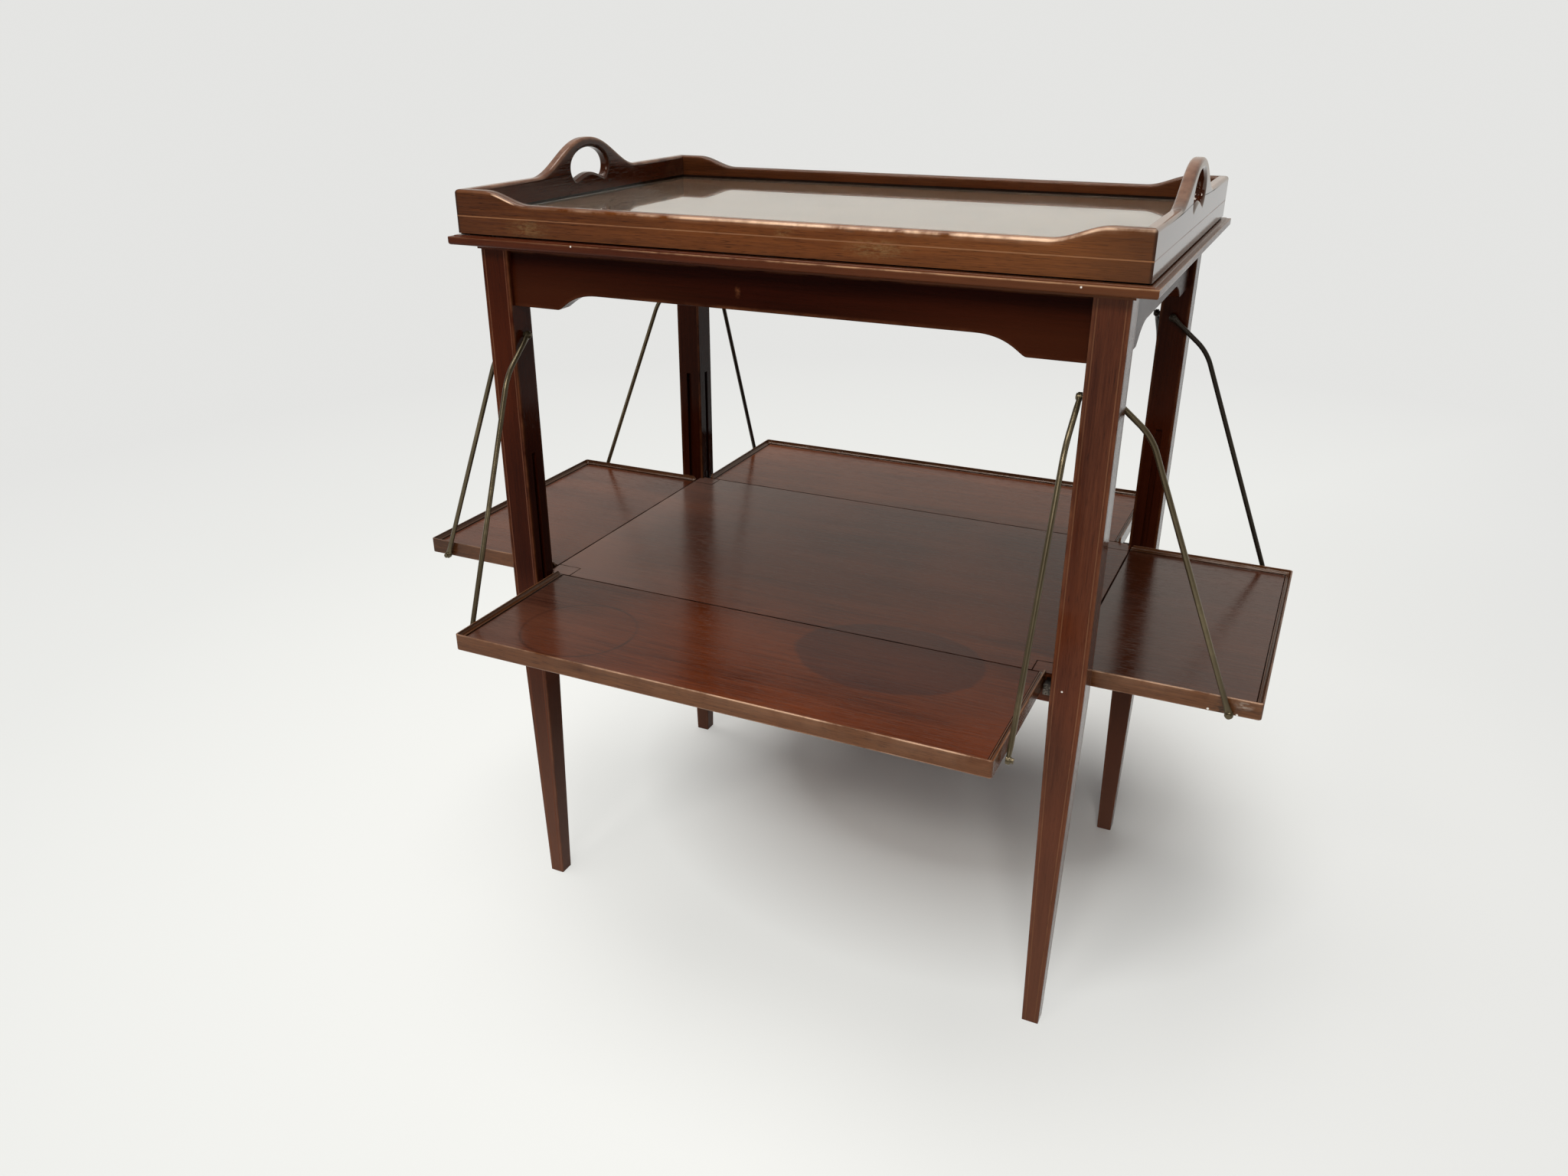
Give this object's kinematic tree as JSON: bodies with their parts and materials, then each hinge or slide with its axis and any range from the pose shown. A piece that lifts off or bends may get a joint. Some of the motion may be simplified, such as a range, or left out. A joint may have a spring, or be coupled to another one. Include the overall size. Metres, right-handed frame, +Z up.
{
  "type": "serving table",
  "caption": "Mahogany serving table with a lift-off tray and a shelf between its legs whose hinged leaves fold down on cranked brass rods as it is raised.",
  "frame": {"origin": "on the floor under the middle of the table", "axes": "+Z up, +X to the right along the table's length, the front at -Y"},
  "size_m": [0.9366, 0.7234, 0.8525],
  "materials": {
    "leg_mahogany": "polished red-brown mahogany with boxwood stringing",
    "frame_mahogany": "polished red-brown mahogany",
    "tray_mahogany": "polished mahogany, golden brown on the long boards",
    "tray_glass": "clear plate glass, polished",
    "plain_wood": "unpolished",
    "shelf_mahogany": "highly polished red-brown mahogany, worn and marked",
    "lip_mahogany": "polished mahogany with worn arrises",
    "block_mahogany": "dark polished mahogany",
    "iron": "darkened iron with bright rubbed places",
    "hinge_brass": "tarnished",
    "rod_brass": "tarnished, olive brown with bright bends"
  },
  "bodies": {
    "frame": {"leg_front_left": "leg_mahogany", "leg_front_right": "leg_mahogany", "leg_back_left": "leg_mahogany", "leg_back_right": "leg_mahogany", "apron_front": "frame_mahogany", "apron_back": "frame_mahogany", "apron_left": "frame_mahogany", "apron_right": "frame_mahogany", "table_top": "frame_mahogany", "pivot_screw_right_front": "rod_brass", "pivot_screw_right_back": "rod_brass", "pivot_screw_back_right": "rod_brass", "pivot_screw_back_left": "rod_brass", "pivot_screw_left_back": "rod_brass", "pivot_screw_left_front": "rod_brass", "pivot_screw_front_left": "rod_brass", "pivot_screw_front_right": "rod_brass"},
    "tray": {"tray_floor": "tray_mahogany", "tray_glass": "tray_glass", "tray_board_front": "tray_mahogany", "tray_board_back": "tray_mahogany", "tray_handle_left": "tray_mahogany", "tray_handle_right": "tray_mahogany", "tray_bearer_left": "plain_wood", "tray_bearer_right": "plain_wood"},
    "shelf": {"shelf_panel": "shelf_mahogany", "guide_block_front_left": "block_mahogany", "guide_bracket_front_left": "iron", "guide_block_front_right": "block_mahogany", "guide_bracket_front_right": "iron", "guide_block_back_left": "block_mahogany", "guide_bracket_back_left": "iron", "guide_block_back_right": "block_mahogany", "guide_bracket_back_right": "iron", "hinge_shelf_strip_right": "hinge_brass", "hinge_shelf_strip_back": "hinge_brass", "hinge_shelf_strip_left": "hinge_brass", "hinge_shelf_strip_front": "hinge_brass"},
    "leaf_right": {"leaf_panel_right": "shelf_mahogany", "leaf_lip_right": "lip_mahogany", "hinge_leaf_strip_right": "hinge_brass"},
    "rod_right_front": {"rod_right_front": "rod_brass"},
    "rod_right_back": {"rod_right_back": "rod_brass"},
    "leaf_back": {"leaf_panel_back": "shelf_mahogany", "leaf_lip_back": "lip_mahogany", "hinge_leaf_strip_back": "hinge_brass"},
    "rod_back_right": {"rod_back_right": "rod_brass"},
    "rod_back_left": {"rod_back_left": "rod_brass"},
    "leaf_left": {"leaf_panel_left": "shelf_mahogany", "leaf_lip_left": "lip_mahogany", "hinge_leaf_strip_left": "hinge_brass"},
    "rod_left_back": {"rod_left_back": "rod_brass"},
    "rod_left_front": {"rod_left_front": "rod_brass"},
    "leaf_front": {"leaf_panel_front": "shelf_mahogany", "leaf_lip_front": "lip_mahogany", "hinge_leaf_strip_front": "hinge_brass"},
    "rod_front_left": {"rod_front_left": "rod_brass"},
    "rod_front_right": {"rod_front_right": "rod_brass"}
  },
  "joints": [
    {"name": "tray_lift", "type": "slide", "parent": "frame", "child": "tray", "axis": [0, 0, 1], "range_m": [0, 0.3]},
    {"name": "shelf_lift", "type": "slide", "parent": "frame", "child": "shelf", "axis": [0, 0, 1], "range_m": [0, 0.1203]},
    {"name": "leaf_right_hinge", "type": "hinge", "parent": "shelf", "child": "leaf_right", "pos_m": [0.2908, 0, 0.394], "axis": [0, 1, 0], "range_deg": [0, 90]},
    {"name": "rod_right_front_pivot", "type": "hinge", "parent": "frame", "child": "rod_right_front", "pos_m": [0.3017, -0.1719, 0.676], "axis": [0, 1, 0], "range_deg": [0, 28]},
    {"name": "rod_right_back_pivot", "type": "hinge", "parent": "frame", "child": "rod_right_back", "pos_m": [0.3017, 0.1719, 0.676], "axis": [0, 1, 0], "range_deg": [0, 28]},
    {"name": "leaf_back_hinge", "type": "hinge", "parent": "shelf", "child": "leaf_back", "pos_m": [0, 0.1811, 0.394], "axis": [-1, 0, 0], "range_deg": [0, 90]},
    {"name": "rod_back_right_pivot", "type": "hinge", "parent": "frame", "child": "rod_back_right", "pos_m": [0.2816, 0.192, 0.676], "axis": [-1, 0, 0], "range_deg": [0, 28]},
    {"name": "rod_back_left_pivot", "type": "hinge", "parent": "frame", "child": "rod_back_left", "pos_m": [-0.2816, 0.192, 0.676], "axis": [-1, 0, 0], "range_deg": [0, 28]},
    {"name": "leaf_left_hinge", "type": "hinge", "parent": "shelf", "child": "leaf_left", "pos_m": [-0.2908, 0, 0.394], "axis": [0, -1, 0], "range_deg": [0, 90]},
    {"name": "rod_left_back_pivot", "type": "hinge", "parent": "frame", "child": "rod_left_back", "pos_m": [-0.3017, 0.1719, 0.676], "axis": [0, -1, 0], "range_deg": [0, 28]},
    {"name": "rod_left_front_pivot", "type": "hinge", "parent": "frame", "child": "rod_left_front", "pos_m": [-0.3017, -0.1719, 0.676], "axis": [0, -1, 0], "range_deg": [0, 28]},
    {"name": "leaf_front_hinge", "type": "hinge", "parent": "shelf", "child": "leaf_front", "pos_m": [0, -0.1811, 0.394], "axis": [1, 0, 0], "range_deg": [0, 90]},
    {"name": "rod_front_left_pivot", "type": "hinge", "parent": "frame", "child": "rod_front_left", "pos_m": [-0.2816, -0.192, 0.676], "axis": [1, 0, 0], "range_deg": [0, 28]},
    {"name": "rod_front_right_pivot", "type": "hinge", "parent": "frame", "child": "rod_front_right", "pos_m": [0.2816, -0.192, 0.676], "axis": [1, 0, 0], "range_deg": [0, 28]}
  ],
  "couplings": [
    {"joint": "leaf_right_hinge", "follows": "shelf_lift", "rad_per_m": 13.056},
    {"joint": "rod_right_front_pivot", "follows": "shelf_lift", "rad_per_m": 4.0552},
    {"joint": "rod_right_back_pivot", "follows": "shelf_lift", "rad_per_m": 4.0552},
    {"joint": "leaf_back_hinge", "follows": "shelf_lift", "rad_per_m": 13.056},
    {"joint": "rod_back_right_pivot", "follows": "shelf_lift", "rad_per_m": 4.0552},
    {"joint": "rod_back_left_pivot", "follows": "shelf_lift", "rad_per_m": 4.0552},
    {"joint": "leaf_left_hinge", "follows": "shelf_lift", "rad_per_m": 13.056},
    {"joint": "rod_left_back_pivot", "follows": "shelf_lift", "rad_per_m": 4.0552},
    {"joint": "rod_left_front_pivot", "follows": "shelf_lift", "rad_per_m": 4.0552},
    {"joint": "leaf_front_hinge", "follows": "shelf_lift", "rad_per_m": 13.056},
    {"joint": "rod_front_left_pivot", "follows": "shelf_lift", "rad_per_m": 4.0552},
    {"joint": "rod_front_right_pivot", "follows": "shelf_lift", "rad_per_m": 4.0552}
  ]
}
